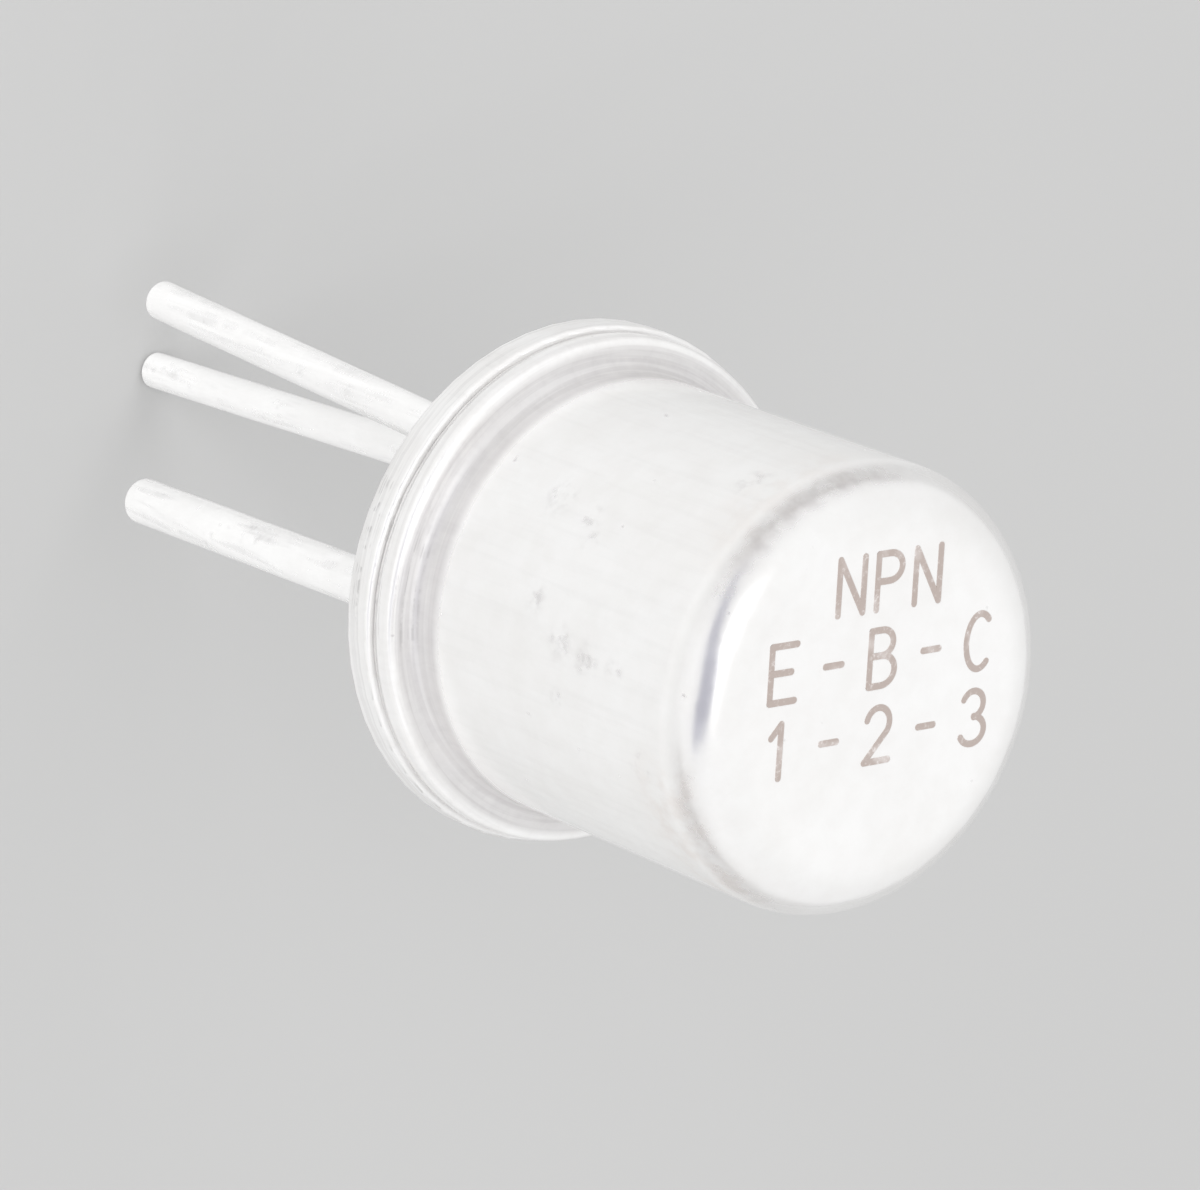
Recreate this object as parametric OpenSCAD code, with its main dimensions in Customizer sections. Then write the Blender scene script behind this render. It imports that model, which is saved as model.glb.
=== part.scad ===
// Small-signal NPN transistor in a welded metal can with three wire leads.
// The origin is the centre of the seating plane, under the header's flange.
// Z runs along the can's axis to its nose, and the leads leave towards -Z.
// The emitter lead stands on +X, the base lead on +Y and the collector lead on -X.

/* [Cap] */
// Outer diameter of the can's wall
can_d = 4.74; // [4.60:0.01:4.84]
// Height of the nose above the seating plane
nose_z = 5.19; // [4.32:0.01:5.60]
// Thickness of the drawn sheet
sheet_t = 0.22; // [0.16:0.01:0.24]
// Outer radius of the edge between wall and nose
nose_r = 0.60; // [0.45:0.01:0.90]
// Outer diameter of the cap's flange
cap_flange_d = 5.48; // [5.42:0.01:5.60]
// Radius of the hollow corner between wall and flange
cap_fillet_r = 0.20; // [0.12:0.01:0.20]
// Rounding of the flange's upper edge
cap_edge_r = 0.09; // [0.03:0.01:0.10]

/* [Header] */
// Outer diameter of the header's flange
header_flange_d = 5.62; // [5.58:0.01:5.84]
// Thickness of the header's flange
header_flange_t = 0.36; // [0.25:0.01:0.42]
// Rounding of the header flange's two edges
header_edge_r = 0.05; // [0.02:0.01:0.10]
// Outer diameter of the raised platform
platform_d = 3.96; // [3.86:0.01:4.00]
// Height of the platform's top above the seating plane
platform_z = 1.15; // [1.00:0.01:1.30]
// Thickness of the stamped sheet
header_sheet_t = 0.25; // [0.20:0.01:0.28]
// Rounding of the platform's upper edge
platform_edge_r = 0.12; // [0.04:0.01:0.15]
// Radius of the hollow corner between platform and flange
platform_fillet_r = 0.10; // [0.04:0.01:0.12]
// Width of the locating tab
tab_w = 1.04; // [0.91:0.01:1.17]
// Length of the tab beyond the flange
tab_l = 0.96; // [0.71:0.01:1.22]
// Angle of the tab from the emitter lead
tab_angle = -45; // [-50:1:-40]

/* [Weld] */
// Height of the gap that the weld leaves between the flanges
weld_gap = 0.06; // [0.03:0.01:0.10]
// Diameter of the weld bead's outer edge
weld_d = 5.34; // [5.28:0.01:5.38]
// Radial width of the weld bead
weld_w = 0.12; // [0.08:0.01:0.16]

/* [Glass] */
// Depth of the glass below the seating plane's level
glass_recess = 0.08; // [0.03:0.01:0.20]
// Diameter of the two holes that the glass insulates
glass_hole_d = 0.80; // [0.74:0.01:0.84]

/* [Leads] */
// Diameter of the circle on which the leads stand
lead_circle_d = 2.54; // [2.48:0.01:2.56]
// Diameter of the emitter lead
emitter_lead_d = 0.42; // [0.41:0.01:0.52]
// Diameter of the base lead
base_lead_d = 0.45; // [0.41:0.01:0.52]
// Diameter of the collector lead
collector_lead_d = 0.52; // [0.41:0.01:0.53]
// Length of the straight part under the seating plane
straight_l = 0.90; // [0.50:0.05:2.00]
// Radius of the leads' slight bend, at the wire's centre
bend_r = 3.00; // [1.50:0.10:6.00]
// Radial swelling of a wire where it is bent
bend_swell_t = 0.003; // [0.002:0.001:0.006]
// Length of the emitter lead beyond its bend
emitter_tail = 7.38; // [3.00:0.01:13.00]
// Length of the base lead beyond its bend
base_tail = 6.15; // [3.00:0.01:13.00]
// Length of the collector lead beyond its bend
collector_tail = 5.33; // [3.00:0.01:13.00]
// Lean of the emitter lead
emitter_lean = 4.6; // [1.5:0.1:7.0]
// Direction in which the emitter lead leans
emitter_lean_to = 169; // [120:1:220]
// Lean of the base lead
base_lean = 2.8; // [1.5:0.1:7.0]
// Direction in which the base lead leans
base_lean_to = 50; // [0:1:120]
// Lean of the collector lead
collector_lean = 4.1; // [1.5:0.1:7.0]
// Direction in which the collector lead leans
collector_lean_to = 306; // [270:1:380]
// Height of the emitter and base posts above the platform
post_h = 0.45; // [0.30:0.01:0.70]

/* [Chip] */
// Side of the silicon chip
die_w = 0.46; // [0.30:0.01:0.60]
// Thickness of the silicon chip
die_t = 0.18; // [0.12:0.01:0.25]
// Side of the gold preform
preform_w = 0.62; // [0.60:0.01:0.80]
// Thickness of the gold preform
preform_t = 0.03; // [0.02:0.01:0.05]
// Diameter of the bond wires
wire_d = 0.038; // [0.025:0.001:0.040]
// Radius of the bond wires' loop, at the wire's centre
wire_loop_r = 0.62; // [0.60:0.01:1.20]
// Diameter of the bonds at both ends of a wire
bond_d = 0.10; // [0.08:0.01:0.12]
// Height of a bond
bond_h = 0.045; // [0.045:0.001:0.060]
// Distance of a bond on the chip from the chip's centre
pad_offset = 0.11; // [0.08:0.01:0.12]

/* [Hidden] */
$fn = 96;

lead_circle_r = lead_circle_d / 2;
can_r = can_d / 2;
cavity_r = can_r - sheet_t;
cap_z = header_flange_t + weld_gap;
cap_flange_z = cap_z + sheet_t;
fillet_centre_r = can_r + cap_fillet_r;
fillet_centre_z = cap_flange_z + cap_fillet_r;
platform_r = platform_d / 2;
glass_r = platform_r - header_sheet_t;
platform_under_z = platform_z - header_sheet_t;
post_z = platform_z + post_h;
die_z = platform_z + preform_t;
die_top_z = die_z + die_t;
bend_z = -straight_l;
emitter_angle = 0;
base_angle = 90;
collector_angle = 180;
// Overshoot of a tool that cuts through a face
cut = 0.5;

// A quarter disc removed from a square: the shape that a fillet adds, corner at the origin.
module fillet_shape(r) {
    difference() {
        square(r);
        translate([r, r]) circle(r = r);
    }
}

// A rectangle from [r0, z0] to [r1, z1] whose two outer corners can be rounded.
module rim_shape(r0, r1, z0, z1, lower_r, upper_r) {
    difference() {
        translate([r0, z0]) square([r1 - r0, z1 - z0]);
        if (upper_r > 0)
            translate([r1, z1]) rotate(180) fillet_shape(upper_r);
        if (lower_r > 0)
            translate([r1, z0]) rotate(90) fillet_shape(lower_r);
    }
}

// Outline of the solid can, flange included, before its inside is taken out.
module cap_outer_shape() {
    rim_shape(0, cap_flange_d / 2, cap_z, cap_flange_z, 0, cap_edge_r);
    rim_shape(0, can_r, cap_z, nose_z, 0, nose_r);
    translate([can_r, cap_flange_z]) fillet_shape(cap_fillet_r);
}

// Outline of the can's inside, parallel to the outside at one sheet's thickness.
module cap_inner_shape() {
    translate([0, cap_z - cut]) square([fillet_centre_r, cut]);
    rim_shape(0, cavity_r, cap_z - cut, nose_z - sheet_t, 0, nose_r - sheet_t);
    difference() {
        translate([0, cap_z]) square([fillet_centre_r, cap_fillet_r + sheet_t]);
        translate([fillet_centre_r, fillet_centre_z]) circle(r = cap_fillet_r + sheet_t);
    }
}

// Moves what follows to a lead's place on the lead circle.
module on_lead_circle(angle) {
    rotate(angle) translate([lead_circle_r, 0, 0]) rotate(-angle) children();
}

// A wire that runs down from top_z, bends slightly and goes on straight for the tail's length.
// Both straight wires reach a little into the bend, no farther than its swelling hides them.
module lead_wire(d, top_z, lean, lean_to, tail) {
    lap = min(sqrt(bend_swell_t * bend_r), bend_r * sin(lean) / 3);
    rotate(lean_to) {
        translate([0, 0, bend_z - lap]) cylinder(d = d, h = top_z - bend_z + lap);
        translate([bend_r, 0, bend_z]) {
            rotate([90, 180, 0])
                rotate_extrude(angle = lean)
                    translate([bend_r, 0]) circle(d = d + 2 * bend_swell_t);
            rotate([0, -lean, 0])
                translate([-bend_r, 0, -tail])
                    cylinder(d = d, h = tail + lap);
        }
    }
}

// A bond wire: one arc between two points of an upright plane, with a bond at each end.
module bond_wire(r0, z0, r1, z1) {
    end_h = bond_h / 2;
    chord = [r1 - r0, z1 - z0];
    chord_l = norm(chord);
    sink = sqrt(pow(wire_loop_r, 2) - pow(chord_l / 2, 2));
    centre = [r0 + chord[0] / 2 + sink * chord[1] / chord_l,
              z0 + chord[1] / 2 - sink * chord[0] / chord_l];
    half_turn = asin(chord_l / 2 / wire_loop_r);
    from = atan2(z1 + end_h - centre[1] - end_h, r1 - centre[0]);
    translate([centre[0], 0, centre[1] + end_h])
        rotate([90, 0, 0])
            rotate(from)
                rotate_extrude(angle = 2 * half_turn)
                    translate([wire_loop_r, 0]) circle(d = wire_d);
    translate([r0, 0, z0]) cylinder(d = bond_d, h = bond_h);
    translate([r1, 0, z1]) cylinder(d = bond_d, h = bond_h);
}

module cap() {
    color("gainsboro")
        rotate_extrude()
            difference() {
                cap_outer_shape();
                cap_inner_shape();
            }
}

module header() {
    color("silver")
        difference() {
            union() {
                rotate_extrude() {
                    rim_shape(0, header_flange_d / 2, 0, header_flange_t,
                              header_edge_r, header_edge_r);
                    rim_shape(0, platform_r, 0, platform_z, 0, platform_edge_r);
                    translate([platform_r, header_flange_t]) fillet_shape(platform_fillet_r);
                    translate([weld_d / 2 - weld_w, header_flange_t])
                        square([weld_w, weld_gap]);
                }
                rotate(tab_angle)
                    translate([0, -tab_w / 2, 0])
                        cube([header_flange_d / 2 + tab_l, tab_w, header_flange_t]);
            }
            translate([0, 0, -cut]) cylinder(r = glass_r, h = platform_under_z + cut);
            for (angle = [emitter_angle, base_angle])
                on_lead_circle(angle)
                    translate([0, 0, -cut]) cylinder(d = glass_hole_d, h = platform_z + 2 * cut);
        }
}

module glass_seal() {
    color("darkslateblue")
        difference() {
            union() {
                translate([0, 0, glass_recess])
                    cylinder(r = glass_r, h = platform_under_z - glass_recess);
                for (angle = [emitter_angle, base_angle])
                    on_lead_circle(angle)
                        translate([0, 0, glass_recess])
                            cylinder(d = glass_hole_d, h = platform_z - glass_recess);
            }
            on_lead_circle(emitter_angle)
                translate([0, 0, -cut]) cylinder(d = emitter_lead_d, h = platform_z + 2 * cut);
            on_lead_circle(base_angle)
                translate([0, 0, -cut]) cylinder(d = base_lead_d, h = platform_z + 2 * cut);
            on_lead_circle(collector_angle)
                translate([0, 0, -cut])
                    cylinder(d = collector_lead_d, h = platform_under_z + cut);
        }
}

module emitter_lead() {
    color("lightgray")
        on_lead_circle(emitter_angle)
            lead_wire(emitter_lead_d, post_z, emitter_lean, emitter_lean_to, emitter_tail);
}

module base_lead() {
    color("lightgray")
        on_lead_circle(base_angle)
            lead_wire(base_lead_d, post_z, base_lean, base_lean_to, base_tail);
}

module collector_lead() {
    color("lightgray")
        on_lead_circle(collector_angle)
            lead_wire(collector_lead_d, platform_under_z, collector_lean, collector_lean_to,
                      collector_tail);
}

module die_attach() {
    color("gold")
        translate([-preform_w / 2, -preform_w / 2, platform_z])
            cube([preform_w, preform_w, preform_t]);
}

module die() {
    color("dimgray")
        translate([-die_w / 2, -die_w / 2, die_z])
            cube([die_w, die_w, die_t]);
}

module emitter_wire() {
    color("goldenrod")
        rotate(emitter_angle) bond_wire(pad_offset, die_top_z, lead_circle_r, post_z);
}

module base_wire() {
    color("goldenrod")
        rotate(base_angle) bond_wire(pad_offset, die_top_z, lead_circle_r, post_z);
}

cap();
header();
glass_seal();
emitter_lead();
base_lead();
collector_lead();
die_attach();
die();
emitter_wire();
base_wire();
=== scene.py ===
# %% [markdown]
# # A small transistor in a metal can
#
# The real part is a nickel can, drawn from sheet, that is welded by its rim onto a stamped
# header. Three plated wires leave the header. It is smaller than a pea, so this lesson works
# in millimetres and turns them into Blender's metres at the last moment.
#
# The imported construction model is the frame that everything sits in. It already has the right
# sizes, so the lesson never moves it: it gives the model's meshes a finish, and it replaces
# the few that a close camera would show as facets by smooth computed ones.

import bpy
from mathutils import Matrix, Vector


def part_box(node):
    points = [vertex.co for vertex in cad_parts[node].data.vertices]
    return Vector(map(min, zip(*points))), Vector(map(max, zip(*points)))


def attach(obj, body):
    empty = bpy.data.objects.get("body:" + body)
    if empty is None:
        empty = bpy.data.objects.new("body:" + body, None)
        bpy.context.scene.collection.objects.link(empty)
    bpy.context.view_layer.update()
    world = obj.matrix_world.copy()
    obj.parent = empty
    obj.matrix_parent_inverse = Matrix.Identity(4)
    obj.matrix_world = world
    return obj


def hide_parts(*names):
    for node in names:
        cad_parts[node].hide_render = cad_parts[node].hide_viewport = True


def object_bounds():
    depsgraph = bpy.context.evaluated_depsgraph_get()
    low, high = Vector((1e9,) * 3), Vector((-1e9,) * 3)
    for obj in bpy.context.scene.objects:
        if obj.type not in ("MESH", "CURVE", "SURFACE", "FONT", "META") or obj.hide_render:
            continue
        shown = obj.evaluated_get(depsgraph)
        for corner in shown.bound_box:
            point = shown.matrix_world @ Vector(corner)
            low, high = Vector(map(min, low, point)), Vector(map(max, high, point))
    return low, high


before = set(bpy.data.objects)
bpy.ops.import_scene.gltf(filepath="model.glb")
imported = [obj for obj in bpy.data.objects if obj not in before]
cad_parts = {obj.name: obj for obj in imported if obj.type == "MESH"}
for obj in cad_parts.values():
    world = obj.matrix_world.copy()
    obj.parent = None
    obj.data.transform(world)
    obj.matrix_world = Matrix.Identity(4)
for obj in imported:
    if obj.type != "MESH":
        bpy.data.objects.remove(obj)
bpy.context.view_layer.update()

import bmesh
import bpy
import numpy as np
from mathutils import Matrix, Vector

MM = 0.001
BODY = "root"
print("pieces in the frame:", sorted(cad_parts))

# %% [markdown]
# ## The sizes that the pieces share
#
# Each number below repeats one of the construction model's own sizes, in millimetres. The
# heights start at the seating plane, which is the flat underside of the header's flange.
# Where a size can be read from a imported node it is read, so that the two can't drift apart.

# %% Shared sizes
cap_low, cap_high = (np.array(corner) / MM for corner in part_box("cap"))
header_low, header_high = (np.array(corner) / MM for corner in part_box("header"))
can_r, sheet = 2.37, 0.22
nose_z, nose_r = cap_high[2], 0.60
cap_z, cap_flange_r = cap_low[2], cap_high[0]
cap_fillet_r, cap_edge_r = 0.20, 0.09
cap_flange_z = cap_z + sheet
header_flange_z, glass_r, glass_z, platform_under_z = 0.36, 1.73, 0.08, 0.90
lead_circle_r = 1.27
print(f"nose at {nose_z:.3f} mm, cap flange radius {cap_flange_r:.3f} mm")
print(f"header from {header_low[2]:.3f} to {header_high[2]:.3f} mm")

# %% [markdown]
# ## Surfaces as functions of two parameters
#
# Every new piece here is a grid of points. One helper turns a grid of shape (rows, columns, 3)
# into a mesh: neighbouring points become a face, and a direction that closes on itself joins
# its last line of points to its first. Points that fall together, as at a pole, are merged
# afterwards, and the faces are then turned to point outwards. A modelling tool could draw the
# same shapes, but a formula can be checked against a drawing and changed by one number.

# %% Grid to mesh
SAME_POINT, NO_LENGTH = 1e-4 * MM, 1e-5 * MM


def grid_faces(rows, columns, close_rows=False, close_columns=False):
    """The four corners of the face between each point and its neighbours, as point numbers."""
    index = np.arange(rows * columns).reshape(rows, columns)
    if close_rows:
        index = np.vstack([index, index[:1]])
    if close_columns:
        index = np.hstack([index, index[:, :1]])
    corners = [index[:-1, :-1], index[1:, :-1], index[1:, 1:], index[:-1, 1:]]
    return np.stack(corners, axis=-1).reshape(-1, 4)


def piece_from_grid(name, grid, close_rows=False, close_columns=False):
    """A mesh whose vertices are grid[i, j], in millimetres, with a face between neighbours."""
    quads = grid_faces(*grid.shape[:2], close_rows, close_columns)
    mesh = bpy.data.meshes.new(name)
    mesh.from_pydata((grid.reshape(-1, 3) * MM).tolist(), [], quads.tolist())
    return finished_piece(name, mesh)


def finished_piece(name, mesh, smooth=True):
    """Merges what falls together, turns the faces outwards and lets the piece ride."""
    shape = bmesh.new()
    shape.from_mesh(mesh)
    bmesh.ops.remove_doubles(shape, verts=shape.verts, dist=SAME_POINT)
    bmesh.ops.dissolve_degenerate(shape, edges=shape.edges, dist=NO_LENGTH)
    bmesh.ops.recalc_face_normals(shape, faces=shape.faces)
    shape.to_mesh(mesh)
    shape.free()
    mesh.polygons.foreach_set("use_smooth", [smooth] * len(mesh.polygons))
    piece = bpy.data.objects.new(name, mesh)
    bpy.context.scene.collection.objects.link(piece)
    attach(piece, BODY)
    print(f"{name}: {len(mesh.vertices)} vertices, {len(mesh.polygons)} faces")
    return piece


print("a grid of 3 x 4 points that closes both ways has", len(grid_faces(3, 4, True, True)), "faces")

# %% Profiles
def arc(centre, radius, start, end, count=13):
    """Points on a circle round centre = (r, z), from one angle in degrees to another."""
    turn = np.radians(np.linspace(start, end, count))
    return np.stack([centre[0] + radius * np.cos(turn), centre[1] + radius * np.sin(turn)], -1)


def line(start, end, count=9):
    """Evenly spaced points from start to end."""
    return np.linspace(start, end, count)


def turned(profile, angles, radial_offset):
    """Each (r, z) of the profile, with r moved, carried round Z: (r cos a, r sin a, z)."""
    r = profile[:, :1] + radial_offset
    return np.stack([r * np.cos(angles), r * np.sin(angles), profile[:, 1:] + 0 * r], -1)


full_turn = np.linspace(0, 2 * np.pi, 289)[:-1]
print("a full turn takes", len(full_turn), "steps")

# %% [markdown]
# ## The cap
#
# The can is drawn from nickel sheet: a punch pulls the flat sheet into a die, which leaves a
# round edge at the nose and a small hollow corner at the flange. One line through the axis
# tells the whole form, so it is a turned profile: out along the nose, down the wall, out over
# the flange, and back along the inside. The nose isn't perfectly flat. The punch leaves it
# crowned by about a hundredth of a millimetre, which is what makes its reflection drift.
# The wall also keeps a trace of the sheet: it is a few thousandths out of round.

# %% The cap's profile
inner_edge_r = nose_r - sheet
fillet_r, fillet_z = can_r + cap_fillet_r, cap_flange_z + cap_fillet_r
nose_crown = 0.010
face_r = np.linspace(0, can_r - nose_r, 24)
nose_face = np.stack([face_r, nose_z - nose_crown * (face_r / face_r[-1]) ** 2], -1)
cap_profile = np.concatenate([
    nose_face,
    arc((can_r - nose_r, nose_z - nose_r - nose_crown), nose_r, 90, 0, 33),
    line((can_r, nose_z - nose_r - nose_crown), (can_r, fillet_z), 41)[1:],
    arc((fillet_r, fillet_z), cap_fillet_r, 180, 270, 17)[1:],
    line((fillet_r, cap_flange_z), (cap_flange_r - cap_edge_r, cap_flange_z), 5)[1:],
    arc((cap_flange_r - cap_edge_r, cap_flange_z - cap_edge_r), cap_edge_r, 90, 0, 9)[1:],
    line((cap_flange_r, cap_flange_z - cap_edge_r), (cap_flange_r, cap_z), 5)[1:],
    line((cap_flange_r, cap_z), (fillet_r, cap_z), 5)[1:],
    arc((fillet_r, fillet_z), cap_fillet_r + sheet, 270, 180, 13)[1:],
    line((can_r - sheet, fillet_z), (can_r - sheet, nose_z - nose_r), 9)[1:],
    arc((can_r - nose_r, nose_z - nose_r), inner_edge_r, 0, 90, 13)[1:],
    line((can_r - nose_r, nose_z - sheet), (0, nose_z - sheet), 9)[1:],
])
print("cap profile has", len(cap_profile), "points")

# %% The cap's surface
# The wall gets an oval and a three-sided share. Both together are taken off first, so that it
# never grows past the model's radius, and they set in over the first millimetre of the wall.
OVAL, THREE_SIDED, SETS_IN_OVER = 0.003, 0.0015, 1.0
out_of_round = OVAL * np.sin(2 * full_turn + 0.7) + THREE_SIDED * np.sin(3 * full_turn + 2.1)
wall_share = np.clip((cap_profile[:, 1] - fillet_z) / SETS_IN_OVER, 0, 1)[:, None]
on_wall = wall_share * np.clip(cap_profile[:, :1] / can_r, 0, 1)
cap_surface = turned(cap_profile, full_turn, on_wall * (out_of_round - OVAL - THREE_SIDED))
cap_shell = piece_from_grid("cap_shell", cap_surface, close_columns=True)
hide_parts("cap")

# %% [markdown]
# ## The weld's flash
#
# The flange of the cap and the flange of the header are squeezed together while a pulse of
# current melts a ring between them. A little metal is pressed out and freezes as an uneven
# bead in the gap. It is a thin ring whose radius and thickness wander with the angle, so the
# dark line between the two flanges is never quite even.

# %% The weld's flash
FLASH_R, FLASH_WANDER, THICKNESS_WANDER = 2.705, 0.010, 0.05


def wandering(angles, waves, seed):
    """A smooth closed curve round a circle: a sum of sines with seeded phases, within -1 to 1."""
    random = np.random.default_rng(seed)
    phase, size = random.uniform(0, 2 * np.pi, len(waves)), random.uniform(0.5, 1.0, len(waves))
    total = (size[:, None] * np.sin(np.outer(waves, angles) + phase[:, None])).sum(0)
    return total / size.sum()


gap = cap_z - header_flange_z
flash_angles = np.linspace(0, 2 * np.pi, 361)[:-1]
flash_r = FLASH_R + FLASH_WANDER * wandering(flash_angles, np.array([3, 7, 11, 19, 31, 47]), 4)
thinner = THICKNESS_WANDER * (wandering(flash_angles, np.array([5, 13, 23, 41]), 9) - 1)
flash_thick = gap / 2 * (1 + thinner)
section = np.linspace(0, 2 * np.pi, 13)[:-1][:, None]
ring_r = flash_r + flash_thick * np.cos(section)
flash_grid = np.stack([ring_r * np.cos(flash_angles), ring_r * np.sin(flash_angles),
                       header_flange_z + gap / 2 + flash_thick * np.sin(section)], -1)
weld_flash = piece_from_grid("weld_flash", flash_grid, close_rows=True, close_columns=True)

# %% [markdown]
# ## The leads
#
# Each lead is a plated wire that comes straight out of the glass, bends a little and goes on
# straight to its cut end. It is a round section carried along a path. The path has three
# parts, and their directions are the construction model's: the lean and the direction of each
# lead are the ones that the photograph shows. The edge of the cut end is a little rounded, and
# the dipped plating leaves the wire a few thousandths uneven.

# %% Paths of the leads
straight_l, bend_r = 0.90, 3.00
PATH_POINTS = 121
# Angle of the seat, thickness, top, lean and its direction, and length beyond the bend.
lead_facts = {
    "emitter_lead": dict(angle=0, d=0.42, top=1.60, lean=4.6, lean_to=169, tail=7.38),
    "base_lead": dict(angle=90, d=0.45, top=1.60, lean=2.8, lean_to=50, tail=6.15),
    "collector_lead": dict(angle=180, d=0.52, top=0.90, lean=4.1, lean_to=306, tail=5.33),
}


def lead_path(angle, top, lean, lean_to, tail, **_):
    """Points and unit tangents at equal steps s: straight down to the bend, round its arc, on."""
    lean, lean_to, angle = np.radians([lean, lean_to, angle])
    sideways = np.array([np.cos(lean_to), np.sin(lean_to), 0])
    seat = np.array([np.cos(angle), np.sin(angle), 0]) * lead_circle_r
    down = np.array([0, 0, -1.0])
    bend_at, bend_l = top + straight_l, bend_r * lean
    s = np.linspace(0, bend_at + bend_l + tail, PATH_POINTS)[:, None]
    turn = np.clip(s - bend_at, 0, bend_l) / bend_r
    tangent = np.sin(turn) * sideways + np.cos(turn) * down
    bend = bend_r * ((1 - np.cos(turn)) * sideways + np.sin(turn) * down)
    on = np.clip(s - bend_at - bend_l, 0, None) * tangent
    return seat - down * top + np.clip(s, 0, bend_at) * down + bend + on, tangent


path, tangent = lead_path(**lead_facts["emitter_lead"])
print("emitter lead ends at", path[-1].round(3), "mm")

# %% Surfaces of the leads
# The two kinds of unevenness seldom add up to more than one and a half times UNEVEN. FULLEST
# takes that off first, so that the wire is as thick as the model's only where it is thickest.
round_section = np.linspace(0, 2 * np.pi, 49)[:-1]
CUT_ROUNDING, RIM_POINTS, UNEVEN = 0.030, 7, 0.006
FULLEST = 1 + 1.5 * UNEVEN


def wire_grid(path, tangent, radius, seed):
    """point = path + radius (cos b side + sin b other), narrowed over a rounded cut end."""
    rim = np.linspace(0, np.pi / 2, RIM_POINTS)
    back = CUT_ROUNDING * (np.sin(rim) - 1)[:, None]
    width = np.concatenate([[0], np.full(len(path) - 1, radius),
                            radius - CUT_ROUNDING * (1 - np.cos(rim)), [0]])
    path = np.concatenate([path[:1], path[:-1], path[-1] + back * tangent[-1], path[-1:]])
    tangent = np.concatenate([tangent[:1], tangent[:-1], np.repeat(tangent[-1:], RIM_POINTS + 1, 0)])
    side = np.cross(tangent, [0.0, 1.0, 0.0])
    side /= np.linalg.norm(side, axis=1, keepdims=True)
    other = np.cross(tangent, side)
    uneven = 1 + UNEVEN * wandering(round_section, np.array([1, 2, 3]), seed)
    ripple = 1 + UNEVEN * wandering(np.linspace(0, 6, len(path)), np.array([2, 5, 9]), seed + 1)
    size = (width * ripple)[:, None, None] * uneven[None, :, None]
    return path[:, None] + size * (np.cos(round_section)[:, None] * side[:, None]
                                   + np.sin(round_section)[:, None] * other[:, None])


for seed, (name, facts) in enumerate(lead_facts.items()):
    grid = wire_grid(*lead_path(**facts), facts["d"] / 2 / FULLEST, 20 + seed)
    wire = piece_from_grid(name + "_wire", grid, close_columns=True)
    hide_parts(name)

# %% [markdown]
# ## The glass in the header
#
# Molten glass wets metal, so it creeps up the three wires and up the wall of the header, and
# freezes there as little curved skirts. The underside is a height above the seating plane
# that depends on the distances to the wires and to the wall. It is computed on rings and
# spokes, and closed by a flat top that nobody sees.

# %% The glass
GLASS_HOLLOW, WALL_SKIRT, LEAD_SKIRT = 0.045, (0.05, 0.09), (0.055, 0.11)


def skirt(distance, height, reach):
    """How far the glass has crept at this distance from a wet metal wall: height e^(-d / reach)."""
    return height * np.exp(-np.clip(distance, 0, None) / reach)


spokes, rings = np.linspace(0, 2 * np.pi, 181)[:-1], np.linspace(0, glass_r, 70)[:, None]
x, y = rings * np.cos(spokes), rings * np.sin(spokes)
creep = skirt(glass_r - np.hypot(x, y), *WALL_SKIRT)
for facts in lead_facts.values():
    turn = np.radians(facts["angle"])
    away = np.hypot(x - lead_circle_r * np.cos(turn), y - lead_circle_r * np.sin(turn))
    creep = np.maximum(creep, skirt(away - facts["d"] / 2, *LEAD_SKIRT))
underside = np.stack([x, y, glass_z + GLASS_HOLLOW - creep], -1)
top = np.stack([x, y, platform_under_z + 0 * x], -1)[::-1]
glass_grid = np.concatenate([underside, top])
glass_fill = piece_from_grid("glass_fill", glass_grid, close_columns=True)
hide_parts("glass_seal")

# %% [markdown]
# ## The stamp on the nose
#
# Such parts get three short rows of ink on the nose, with a rubber stamp. The rows say what is
# true of every part of this kind: its polarity, and which wire is which. The characters are
# single lines, as a stamp's are. Each stroke is a flat ribbon with round ends, laid on the nose
# a few thousandths of a millimetre high.

# %% Strokes of the characters
def bow(cx, cy, rx, ry, start, end, count=15):
    """Part of an ellipse in a character's own box, which is 1 high."""
    turn = np.radians(np.linspace(start, end, count))
    return np.stack([cx + rx * np.cos(turn), cy + ry * np.sin(turn)], -1)


def joined(*parts):
    """One polyline from corner points and curves, in order."""
    return np.concatenate([np.atleast_2d(np.array(part, dtype=float)) for part in parts])


glyphs = {
    "N": [joined((0, 0), (0, 1)), joined((0, 1), (0.56, 0)), joined((0.56, 0), (0.56, 1))],
    "P": [joined((0, 0), (0, 1)), joined((0, 1), bow(0.28, 0.75, 0.27, 0.25, 90, -90), (0, 0.5))],
    "E": [joined((0, 0), (0, 1)), joined((0, 1), (0.54, 1)), joined((0, 0), (0.54, 0)),
          joined((0, 0.52), (0.44, 0.52))],
    "B": [joined((0, 0), (0, 1)), joined((0, 1), bow(0.25, 0.77, 0.25, 0.23, 90, -90), (0, 0.54)),
          joined((0, 0.54), bow(0.27, 0.27, 0.29, 0.27, 90, -90), (0, 0))],
    "C": [bow(0.30, 0.5, 0.30, 0.5, 50, 310, 31)],
    "-": [joined((0.10, 0.50), (0.46, 0.50))],
    "1": [joined((0.08, 0.76), (0.30, 1)), joined((0.30, 1), (0.30, 0))],
    "2": [joined(bow(0.28, 0.71, 0.27, 0.29, 165, -35, 19), (0, 0)), joined((0, 0), (0.56, 0))],
    "3": [bow(0.26, 0.75, 0.25, 0.25, 155, -80, 17), bow(0.27, 0.26, 0.29, 0.26, 85, -155, 19)],
}
print("characters:", " ".join(sorted(glyphs)))


# %% Ribbons
RIBBON_STEP = 0.012


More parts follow.
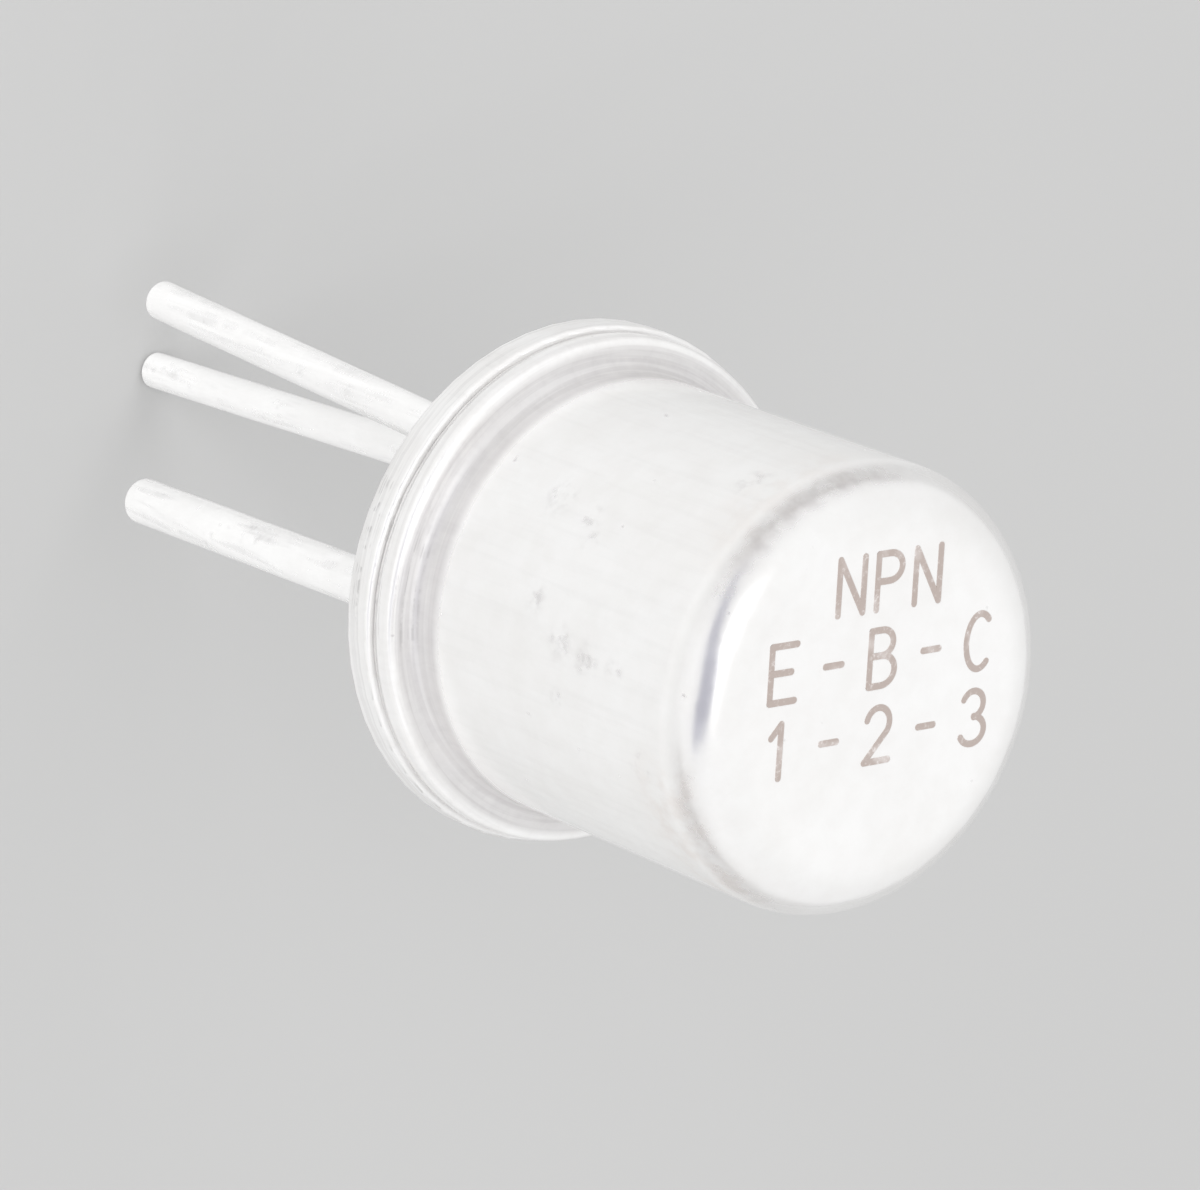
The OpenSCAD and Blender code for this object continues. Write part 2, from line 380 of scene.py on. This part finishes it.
def densified(points, step):
    """The polyline, with points at equal steps of its own length."""
    length = np.concatenate([[0], np.cumsum(np.linalg.norm(np.diff(points, axis=0), axis=1))])
    at = np.linspace(0, length[-1], max(6, int(length[-1] / step)))
    return np.stack([np.interp(at, length, points[:, k]) for k in (0, 1)], -1)


def ribbon(points, half_width, low, high):
    """A flat band round a polyline: its half width shrinks as a circle does at both ends."""
    points = densified(points, RIBBON_STEP)
    tangent = np.gradient(points, axis=0)
    tangent /= np.linalg.norm(tangent, axis=1, keepdims=True)
    across = np.stack([-tangent[:, 1], tangent[:, 0]], -1)
    cap_turn = np.linspace(0, np.pi / 2, 7)[:-1]
    start = points[0] - half_width * np.cos(cap_turn)[:, None] * tangent[0]
    end = points[-1] + half_width * np.cos(cap_turn)[::-1, None] * tangent[-1]
    width = np.concatenate([np.sin(cap_turn), np.ones(len(points)), np.sin(cap_turn)[::-1]])
    points = np.concatenate([start, points, end])
    ends = len(cap_turn)
    across = np.concatenate([np.repeat(across[:1], ends, 0), across, np.repeat(across[-1:], ends, 0)])
    side = across * (half_width * width)[:, None]
    ring = [(points + side, low), (points + side, high), (points - side, high), (points - side, low)]
    return np.stack([np.column_stack([flat, np.full(len(flat), z)]) for flat, z in ring], 1)


# %% The three rows
# The ink is let into the metal by INK_SUNK, so that it has no gap under it, and each further
# stroke of a character is LAYER_STEP higher, so that two strokes never share a face.
STAMP_TURN, INK_HALF_WIDTH, INK_HEIGHT = -16.5, 0.035, 0.003
INK_SUNK, LAYER_STEP, HALF_BOX = 0.004, 0.0007, 0.28
# Each row: its text, the height of its base line, its middle, its pitch, its letters' height.
stamp_rows = [("NPN", 0.97, 0.03, 0.50, 0.57), ("E-B-C", 0.17, 0.00, 0.64, 0.58),
              ("1-2-3", -0.62, 0.00, 0.64, 0.56)]
ink_meshes = []
turn = np.radians(STAMP_TURN)
stamp_axes = np.array([[np.cos(turn), np.sin(turn)], [-np.sin(turn), np.cos(turn)]])
for text, baseline, middle, pitch, height in stamp_rows:
    for place, character in enumerate(text):
        left = middle + (place - (len(text) - 1) / 2) * pitch - HALF_BOX * height
        for layer, stroke in enumerate(glyphs[character]):
            flat = ribbon(stroke * height + [left, baseline], INK_HALF_WIDTH, 0, 1)
            flat[..., :2] = flat[..., :2] @ stamp_axes
            from_axis = np.hypot(flat[..., 0], flat[..., 1]) / face_r[-1]
            nose_here = nose_z - nose_crown * np.clip(from_axis, 0, 1) ** 2
            thick = INK_SUNK + INK_HEIGHT + LAYER_STEP * layer
            flat[..., 2] = nose_here - INK_SUNK + flat[..., 2] * thick
            ink_meshes.append(flat)
print(len(ink_meshes), "ink strokes")

# %% The stamp as one piece
vertices, quads, first_point = [], [], 0
for flat in ink_meshes:
    quads.append(first_point + grid_faces(*flat.shape[:2], close_columns=True))
    vertices.append(flat.reshape(-1, 3))
    first_point += len(vertices[-1])
stamp_mesh = bpy.data.meshes.new("nose_stamp")
stamp_mesh.from_pydata((np.concatenate(vertices) * MM).tolist(), [], np.concatenate(quads).tolist())
nose_stamp = finished_piece("nose_stamp", stamp_mesh, smooth=False)

# %% [markdown]
# ## Shader maths as sums
#
# A finish is a formula over the surface: more grey here, rougher there. Blender builds such
# formulas from nodes, and a long formula becomes hard to read. One small class wraps a
# socket, so that writing `1 - mask` or `clouds * 0.2 + 0.4` adds the nodes. Its method
# `node` makes any other node: its settings are set first, then its sockets.

# %% The class for formulas
class Wire:
    """An output socket in a material's node tree that can stand in a sum."""

    def __init__(self, tree, socket=None):
        self.tree, self.socket = tree, socket

    def node(self, kind, settings=None, inputs=None, out=0):
        """Any node: its settings first, then its sockets, and a Wire from one of its outputs."""
        new = self.tree.nodes.new(kind)
        for key, value in (settings or {}).items():
            setattr(new, key, value)
        for key, value in (inputs or {}).items():
            if isinstance(value, Wire):
                self.tree.links.new(value.socket, new.inputs[key])
            else:
                new.inputs[key].default_value = value
        return Wire(self.tree, new.outputs[out] if len(new.outputs) else None)

    def maths(self, operation, *values):
        """One Math node on Wires and numbers."""
        return self.node("ShaderNodeMath", {"operation": operation}, dict(enumerate(values)))

    def __add__(self, other):
        return self.maths("ADD", self, other)

    def __sub__(self, other):
        return self.maths("SUBTRACT", self, other)

    def __rsub__(self, other):
        return self.maths("SUBTRACT", other, self)

    def __mul__(self, other):
        return self.maths("MULTIPLY", self, other)

    def __pow__(self, other):
        return self.maths("POWER", self, other)

    __radd__, __rmul__ = __add__, __mul__

    def between(self, none, full):
        """0 at none and beyond it, 1 at full and beyond it, with soft ends; either may be higher."""
        return self.node("ShaderNodeMapRange", {"interpolation_type": "SMOOTHSTEP"},
                         {0: self, 1: none, 2: full})


print("a Wire takes + - * and **, with numbers on either side of the first three")

# %% [markdown]
# ## Where on the part
#
# Every pattern reads Object coordinates. They are metres here, far too coarse for noise on a
# part this small, so they are turned into millimetres first. The height along the can and the
# distance from its axis come from the same three numbers.

# %% Places and patterns
def new_finish(name):
    """A material without any node yet, and a Wire to start from."""
    material = bpy.data.materials.new(name)
    material.use_nodes = True
    material.node_tree.nodes.clear()
    return material, Wire(material.node_tree)


def place_of(start):
    """Object coordinates in millimetres, with x, y, z and the distance from the can's axis."""
    metres = start.node("ShaderNodeTexCoord", out=3)
    place = start.node("ShaderNodeVectorMath", {"operation": "SCALE"}, {0: metres, "Scale": 1 / MM})
    split = place.node("ShaderNodeSeparateXYZ", inputs={0: place})
    x, y, z = (Wire(split.tree, split.socket.node.outputs[k]) for k in range(3))
    return place, x, y, z, (x * x + y * y) ** 0.5


def noise(place, scale, detail, roughness, stretch=(1, 1, 1), seed=0.0):
    """Noise between 0 and 1, scale bumps to the millimetre, drawn out where stretch is small."""
    moved = place.node("ShaderNodeMapping", None,
                       {"Vector": place, "Location": (seed, seed * 1.7, -seed), "Scale": stretch})
    return place.node("ShaderNodeTexNoise", None,
                      {"Vector": moved, "Scale": scale, "Detail": detail, "Roughness": roughness})


def ring_lines(x, y, z, r, fine):
    """Noise that is drawn out along circles round the axis, as a lathe's or a die's marks are."""
    drawn_out = x.node("ShaderNodeCombineXYZ", None, {0: x * 0.5, 1: y * 0.5 + z * fine, 2: r * fine})
    return x.node("ShaderNodeTexNoise", None, {"Vector": drawn_out, "Scale": 1.0, "Detail": 3.0})


def mixed(share, low, high):
    """A colour between low and high."""
    return share.node("ShaderNodeMix", {"data_type": "RGBA"}, {0: share, 6: low, 7: high}, out=2)


def spot(place, centre, radius):
    """1 at centre, in millimetres, fading to 0 from a tenth of the radius to the whole of it."""
    away = place.node("ShaderNodeVectorMath", {"operation": "DISTANCE"}, {0: place, 1: centre}, out=1)
    return away.between(radius, radius * 0.1)


def surface(material, start, **sockets):
    """The material's shader and output."""
    shader = start.node("ShaderNodeBsdfPrincipled", None,
                        {key.replace("_", " "): value for key, value in sockets.items()})
    start.node("ShaderNodeOutputMaterial", None, {0: shader})
    return material


# %% [markdown]
# ## Nickel and plated wire
#
# Both metals are pale, satin and handled. They start from a near-white metal. Clouds of
# slightly greyer tone come from uneven plating and fingerprints, small dark specks are pits,
# and thin lines are the die's marks and scratches. On the can, the hollow corner above the
# flange is darkened as painted shade, and a ring round the shoulder of the nose is darkened,
# most towards two sides, as a painted reflection of the dark room. The wall there is stained a
# faint brown as well. The nose's edge is rubbed brighter, so it mirrors more than the wall does.
# A single noise would look like stone, so each mark has its own scale, and the dirt and the
# painted shade change the roughness as well as the colour.

# %% Nickel
def on_can(angle, height):
    """A point on the can's wall."""
    turn = np.radians(angle)
    return (can_r * np.cos(turn), can_r * np.sin(turn), height)


def looks_towards(place, azimuth, low, high):
    """0 to 1 where the can's side looks towards an azimuth: by the dot with that direction."""
    flat = place.node("ShaderNodeVectorMath", {"operation": "MULTIPLY"}, {0: place, 1: (1, 1, 0)})
    flat = flat.node("ShaderNodeVectorMath", {"operation": "NORMALIZE"}, {0: flat})
    way = (np.cos(np.radians(azimuth)), np.sin(np.radians(azimuth)), 0)
    dot = flat.node("ShaderNodeVectorMath", {"operation": "DOT_PRODUCT"}, {0: flat, 1: way}, out=1)
    return dot.between(low, high)


shoulder_z, flat_r = nose_z - nose_r, can_r - nose_r
# Angle round the can, height and size of each place where the wall is flecked by handling.
rubbed_places = [(121, 2.13, 0.30), (123, 2.70, 0.24), (129, 2.87, 0.16), (147, 2.44, 0.22),
                 (155, 2.96, 0.26), (157, 3.40, 0.26), (157, 3.85, 0.20), (169, 2.97, 0.14),
                 (98, 4.2, 0.30), (178, 4.3, 0.25), (28, 2.2, 0.3), (265, 3.1, 0.35), (318, 1.8, 0.3)]


def nickel_finish():
    """Clean metal by its clouds, then a share of brown, then a share of grey for dirt, painted shade and a
    painted dark reflection.
    """
    material, start = new_finish("satin_nickel")
    place, x, y, z, r = place_of(start)
    above_flange, above_shoulder = z - cap_flange_z, z - shoulder_z
    # The patterns: uneven plating, the die's lines on the wall, flecks, and the flange's circles.
    clouds = noise(place, 0.8, 4, 0.6, seed=3.1)
    mottle = noise(place, 4.0, 3, 0.58, seed=7.7)
    grain = noise(place, 26, 1, 0.5, seed=1.3)
    drawn = noise(place, 12, 2, 0.5, stretch=(1, 1, 0.05), seed=5.5).between(0.45, 0.75)
    drawn = drawn * above_shoulder.between(0.16, -0.09)
    flecks = noise(place, 7, 2, 0.55, seed=12.4).between(0.42, 0.72)
    circles = ring_lines(x, y, z, r, 16).between(0.45, 0.62) * above_flange.between(0.36, 0.06)
    # The places: handled spots, pits, painted shade in the hollow corner, a painted dark reflection round
    # the shoulder, and the flange's scuffs.
    rubbed = spot(place, on_can(*rubbed_places[0][:2]), rubbed_places[0][2])
    for angle, height, size in rubbed_places[1:]:
        rubbed = rubbed + spot(place, on_can(angle, height), size)
    pits = noise(place, 7.5, 1.5, 0.4, seed=22.4).between(0.76, 0.82)
    # Painted shade: the hollow corner above the flange is darkened, as the wall and the flange shade it,
    # with a mottle in it.
    painted_hollow_shade = above_flange.between(-0.04, 0.02) * above_flange.between(0.40, 0.22)
    painted_hollow_shade = painted_hollow_shade * r.between(fillet_r + 0.11, fillet_r + 0.01)
    # Painted reflection: a ring round the nose's shoulder is darkened all round and most towards two sides,
    # where it mirrors the dark room, broken by mottle and flecks.
    ring = above_shoulder.between(0.07, 0.25) * above_shoulder.between(0.49, 0.31)
    dark_reflection_sides = looks_towards(place, 97, 0.72, 1.0) + looks_towards(place, 203, 0.80, 0.99) * 0.45 + 0.18
    painted_shoulder_reflection = ring * dark_reflection_sides * (mottle * 0.9 + flecks * 0.20)
    scuffs = ring_lines(x, y, z, r, 24).between(0.50, 0.60) * mottle.between(0.40, 0.55)
    scuffs = scuffs * looks_towards(place, 156, 0.955, 0.99) * above_flange.between(0.11, 0.02)
    # What each of them takes from the clean tone: dirt and wear, with the painted shade in the hollow and
    # the painted reflection on the shoulder.
    darkening = rubbed * flecks * 0.32 + pits * 0.30 + painted_hollow_shade * (mottle * 0.26 + 0.22)
    darkening = darkening + painted_shoulder_reflection * 0.50 + drawn * 0.04 + scuffs * 0.22 + circles * 0.11
    tone = clouds.between(0.35, 0.65) * 0.45 + mottle.between(0.3, 0.7) * 0.35 + grain * 0.2
    clean = mixed(tone, (0.915, 0.905, 0.895, 1), (0.975, 0.972, 0.97, 1))
    stain = looks_towards(place, 200, 0.84, 0.99) + looks_towards(place, 97, 0.80, 0.99) * 0.6
    stain = stain * above_shoulder.between(-0.69, -0.09) * above_shoulder.between(0.43, 0.25)
    stain = stain * mottle.between(0.36, 0.66) * 0.26
    colour = mixed(darkening, mixed(stain, clean, (0.66, 0.54, 0.47, 1)), (0.36, 0.335, 0.34, 1))
    roughness = 0.19 + mottle * 0.08 + darkening * 0.25 + above_flange.between(0.46, 0.16) * 0.10
    edge = above_shoulder.between(0.03, 0.26) * r.between(flat_r - 0.15, flat_r + 0.35)
    relief = noise(place, 4.0, 1, 0.4, seed=7.7) * 0.5 + drawn * 0.12 - pits * 0.15 + clouds * 1.4
    bump = start.node("ShaderNodeBump", None, {"Strength": 0.2, "Distance": 0.00002, "Height": relief})
    return surface(material, start, Base_Color=colour, Roughness=roughness,
                   Metallic=edge * 0.17 + 0.54, Normal=bump)


nickel = nickel_finish()
cap_shell.data.materials.append(nickel)
print("nickel is on", cap_shell.name)


# %% Header plate and weld
def plate_finish(name, bright, dull, dirt_colour, metallic, base_roughness):
    """Nickel plate over a harder alloy: finer clouds, scratches, circles and a scuffed side."""
    material, start = new_finish(name)
    place, x, y, z, r = place_of(start)
    clouds, mottle = noise(place, 1.6, 4, 0.6, seed=2.2), noise(place, 7, 2, 0.6, seed=4.9)
    scratches = noise(place, 10, 2, 0.5, stretch=(1, 1, 0.2), seed=6.1).between(0.62, 0.72)
    scuffs = ring_lines(x, y, z, r, 30).between(0.50, 0.60) * mottle.between(0.45, 0.6)
    scuffs = scuffs * looks_towards(place, 150, 0.93, 0.99)
    circles = ring_lines(x, y, z, r, 18).between(0.45, 0.62)
    darkening = scratches * 0.04 + mottle.between(0.62, 0.8) * 0.05 + scuffs * 0.35 + circles * 0.13
    tone = clouds.between(0.35, 0.65) * 0.6 + mottle * 0.4
    colour = mixed(darkening, mixed(tone, dull, bright), dirt_colour)
    roughness = base_roughness + mottle * 0.12 + darkening * 0.2
    relief = noise(place, 7, 1, 0.4, seed=4.9) * 0.4 + clouds - scratches * 0.2
    bump = start.node("ShaderNodeBump", None, {"Strength": 0.12, "Distance": 0.00002, "Height": relief})
    return surface(material, start, Base_Color=colour, Roughness=roughness, Metallic=metallic, Normal=bump)


def dress_node(name, finish):
    """Gives one of the construction model's nodes its finish in place of the plain one."""
    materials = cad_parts[name].data.materials
    materials.clear()
    materials.append(finish)


plate = plate_finish("header_nickel", (0.975, 0.972, 0.97, 1), (0.91, 0.90, 0.89, 1),
                     (0.30, 0.29, 0.29, 1), 0.55, 0.27)
weld = plate_finish("weld_metal", (0.88, 0.87, 0.86, 1), (0.72, 0.71, 0.70, 1),
                    (0.25, 0.24, 0.24, 1), 0.50, 0.34)
weld_flash.data.materials.append(weld)
dress_node("header", plate)
print("plate is on the header, weld metal on", weld_flash.name)


# %% Tinned wire
def tin_finish():
    """Dipped plate on wire: bright and cloudy, with drawn grey streaks and a few flecks."""
    material, start = new_finish("tinned_wire")
    place = place_of(start)[0]
    clouds, mottle = noise(place, 1.8, 4, 0.6, seed=8.8), noise(place, 7, 2, 0.6, seed=1.9)
    drawn = noise(place, 8, 2, 0.55, stretch=(1, 1, 0.05), seed=3.3)
    streaks = drawn.between(0.47, 0.68) * clouds.between(0.34, 0.62)
    flecks = noise(place, 7, 2, 0.6, seed=14.2).between(0.54, 0.80) * clouds.between(0.52, 0.66)
    darkening = streaks * 0.22 + flecks * 0.30
    tone = clouds.between(0.35, 0.65) * 0.5 + mottle * 0.5
    clean = mixed(tone, (0.915, 0.91, 0.905, 1), (0.98, 0.978, 0.975, 1))
    colour = mixed(darkening, clean, (0.36, 0.35, 0.355, 1))
    roughness = 0.20 + mottle * 0.10 + darkening * 0.2
    relief = noise(place, 7, 1, 0.4, seed=1.9) * 0.4 + clouds * 1.5
    bump = start.node("ShaderNodeBump", None, {"Strength": 0.14, "Distance": 0.00003, "Height": relief})
    return surface(material, start, Base_Color=colour, Roughness=roughness, Metallic=0.32, Normal=bump)


tin = tin_finish()
for name in lead_facts:
    bpy.data.objects[name + "_wire"].data.materials.append(tin)
print("tin is on the leads")

# %% [markdown]
# ## Ink, glass and what is inside
#
# The stamp's ink is thin and dry: it is darkest where the rubber pressed hardest, and the
# metal shows through elsewhere. The glass is dark, and a little uneven from small bubbles. The
# chip, its gold and the two bond wires are sealed in and never seen, but they get their own
# finishes so that a cut-away view of the model makes sense.

# %% Ink
def ink_finish():
    """Brown-grey ink that is pale and a little shinier where the metal shows through."""
    material, start = new_finish("stamp_ink")
    place = place_of(start)[0]
    press, fleck = noise(place, 2.4, 3, 0.6, seed=6.6), noise(place, 22, 3, 0.65, seed=2.8)
    bare = (press.between(0.46, 0.70) * 0.45 + fleck.between(0.50, 0.72) * 0.40).between(0, 1)
    colour = mixed(bare, (0.43, 0.365, 0.335, 1), (0.78, 0.745, 0.735, 1))
    return surface(material, start, Base_Color=colour, Roughness=0.55 - bare * 0.2, Metallic=0.0)


nose_stamp.data.materials.append(ink_finish())


# %% Glass, gold and silicon
def speckled_finish(name, dark, light, scale, rough, metallic):
    """A finish for small hidden pieces: two tones by noise, and a little relief."""
    material, start = new_finish(name)
    place = place_of(start)[0]
    grain = noise(place, scale, 4, 0.6)
    bump = start.node("ShaderNodeBump", None, {"Strength": 0.2, "Distance": 0.00001, "Height": grain})
    return surface(material, start, Base_Color=mixed(grain.between(0.3, 0.7), dark, light),
                   Roughness=rough + grain * 0.15, Metallic=metallic, Normal=bump)


glass_fill.data.materials.append(
    speckled_finish("seal_glass", (0.010, 0.016, 0.020, 1), (0.035, 0.050, 0.055, 1), 9, 0.04, 0.0))
gold = speckled_finish("gold", (0.80, 0.55, 0.20, 1), (0.95, 0.72, 0.34, 1), 30, 0.18, 1.0)
silicon = speckled_finish("silicon", (0.10, 0.11, 0.13, 1), (0.17, 0.18, 0.21, 1), 40, 0.12, 0.3)
for name, finish in (("die", silicon), ("die_attach", gold), ("emitter_wire", gold), ("base_wire", gold)):
    dress_node(name, finish)
print("inner pieces finished")

# %% [markdown]
# ## Floor
#
# The part stands on nothing in the photograph. Here the tip of its longest lead touches a
# plain pale floor, as if it were held there, and the floor takes its shadow. The floor is a
# little darker than the can, so that the pale metal stands out against it.

# %% The floor
floor_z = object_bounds()[0][2]
FLOOR_HALF = 0.65
floor_mesh = bpy.data.meshes.new("floor")
floor_corners = [(x * FLOOR_HALF, y * FLOOR_HALF, floor_z) for x, y in ((-1, -1), (1, -1), (1, 1), (-1, 1))]
floor_mesh.from_pydata(floor_corners, [], [(0, 1, 2, 3)])
floor = bpy.data.objects.new("floor", floor_mesh)
bpy.context.scene.collection.objects.link(floor)
floor_paint, start = new_finish("floor_paint")
surface(floor_paint, start, Base_Color=(0.52, 0.52, 0.518, 1), Roughness=0.9)
floor_mesh.materials.append(floor_paint)
print("floor at", round(floor_z / MM, 3), "mm")

# %% [markdown]
# ## Light
#
# Satin metal shows what is round it more than what shines on it. The world is an even pale
# tent. A real studio isn't all pale, though: the room is darker near the floor, and the camera
# itself is a dark thing. Two low warm cards stand for the room, one on each side, and a bluish
# one for the camera. The metal sees them, as the soft smudges and the dark streak on the nose's
# edge, and neither the camera nor the light does. Only the top lamp is mirrored, as the white
# crescent beside the streak. The other three just light the part.

# %% World
world = bpy.data.worlds.new("studio")
world.use_nodes = True
world.node_tree.nodes.clear()
bpy.context.scene.world = world
start = Wire(world.node_tree)
tent = start.node("ShaderNodeBackground", None, {"Color": (0.815, 0.815, 0.815, 1), "Strength": 1.0})
start.node("ShaderNodeOutputWorld", None, {0: tent})
blue_dark, start = new_finish("blue_dark_card")
surface(blue_dark, start, Base_Color=(0.12, 0.125, 0.27, 1), Roughness=0.9)
warm_dark, start = new_finish("warm_dark_card")
surface(warm_dark, start, Base_Color=(0.20, 0.17, 0.155, 1), Roughness=0.9)
print("world ready")


# %% Cards that only the metal sees
CAN_MIDDLE_Z, ROOM_DISTANCE, CAMERA_DISTANCE = 1.5 * MM, 0.58, 0.12


def seen_from_can(azimuth, elevation, distance):
    """A point in metres, in a direction given in degrees from the can's middle."""
    azimuth, elevation = np.radians(azimuth), np.radians(elevation)
    return np.stack([distance * np.cos(azimuth) * np.cos(elevation),
                     distance * np.sin(azimuth) * np.cos(elevation),
                     distance * np.sin(elevation) + CAN_MIDDLE_Z + 0 * azimuth], -1)


def dark_card(name, paint, azimuths, middle, half_height, distance):
    """A card bent round the can at one distance: elevation = middle + half_height x (-1 to 1)."""
    across = np.linspace(-1, 1, 7)[:, None]
    grid = seen_from_can(azimuths + 0 * across, middle + across * half_height, distance)
    grid[..., 2] = np.maximum(grid[..., 2], floor_z)
    mesh = bpy.data.meshes.new(name)
    mesh.from_pydata(grid.reshape(-1, 3).tolist(), [], grid_faces(*grid.shape[:2]).tolist())
    mesh.materials.append(paint)
    card = bpy.data.objects.new(name, mesh)
    bpy.context.scene.collection.objects.link(card)
    card.visible_camera = card.visible_diffuse = card.visible_shadow = False


# The room's cards lie 2 degrees up, and taper almost to a line at both ends.
for name, start_at, end_at, swell in (("room_card_left", 20, 112, 4.2), ("room_card_right", 180, 265, 2.6)):
    along = np.linspace(0, 1, 25)
    dark_card(name, warm_dark, start_at + (end_at - start_at) * along, 2.0,
              0.1 + swell * np.sin(np.pi * along), ROOM_DISTANCE)
# The camera's card bows upwards: its middle line and half height at a few azimuths, in degrees.
bowed = np.linspace(108, 192, 43)
bow_line = np.interp(bowed, [108, 122, 132, 141, 151, 163, 174, 192], [17, 26.5, 31, 36, 44.5, 50, 49, 40])
bow_half = np.interp(bowed, [108, 122, 150, 176, 192], [4, 7, 12, 16, 13])
dark_card("camera_card", blue_dark, bowed, bow_line, bow_half, CAMERA_DISTANCE)
print("three cards")


# %% Lamps
def soft_lamp(name, azimuth, elevation, distance, width, height, radiance, mirrored=True):
    """A lamp aimed at the can's middle. A radiance of 1 is white; power = pi x area x it."""
    data = bpy.data.lights.new(name, "AREA")
    data.shape, data.size, data.size_y = "RECTANGLE", width, height
    data.energy = np.pi * width * height * radiance
    lamp = bpy.data.objects.new(name, data)
    lamp.location = Vector(seen_from_can(azimuth, elevation, distance))
    towards_can = Vector((0, 0, CAN_MIDDLE_Z)) - lamp.location
    lamp.rotation_euler = towards_can.to_track_quat("-Z", "Y").to_euler()
    lamp.visible_glossy, lamp.visible_camera = mirrored, False
    bpy.context.scene.collection.objects.link(lamp)


LAMP_DISTANCE = 0.60
soft_lamp("top_lamp", 145, 65, 0.18, 0.12, 0.062, 1.45)
soft_lamp("low_lamp", 148, 20, LAMP_DISTANCE, 0.67, 0.20, 5.0, mirrored=False)
soft_lamp("left_lamp", 62, 22, LAMP_DISTANCE, 0.46, 0.30, 2.7, mirrored=False)
soft_lamp("right_lamp", 234, 22, LAMP_DISTANCE, 0.46, 0.30, 1.6, mirrored=False)
print("four lamps")

# %% [markdown]
# ## Camera
#
# The photograph was matched: the outline of the can and the rings of its flange fix
# where the camera stood and how it was turned. It looks down on the nose from between the base
# and the collector leads, and it is rolled so that the can's axis points right and down.

# %% Camera
forward, upward = Vector((0.50885, -0.42698, -0.7475)), Vector((0.3897, 0.88851, -0.24224))
camera_place = Vector((-34.767, 29.141, 51.739)) * MM
PHOTO_WIDTH, FOCAL_PIXELS, SENSOR = 1200, 6500, 36.0
camera_data = bpy.data.cameras.new("camera")
camera_data.sensor_width = SENSOR
camera_data.lens = FOCAL_PIXELS / PHOTO_WIDTH * SENSOR
camera_data.clip_start, camera_data.clip_end = 0.001, 10
camera = bpy.data.objects.new("camera", camera_data)
sideways = forward.cross(upward).normalized()
axes = Matrix((sideways, sideways.cross(forward).normalized(), -forward.normalized())).transposed()
camera.matrix_world = Matrix.Translation(camera_place) @ axes.to_4x4()
bpy.context.scene.collection.objects.link(camera)
bpy.context.scene.camera = camera
bpy.context.scene.view_settings.view_transform = "Standard"
print("camera lens", camera_data.lens, "mm")
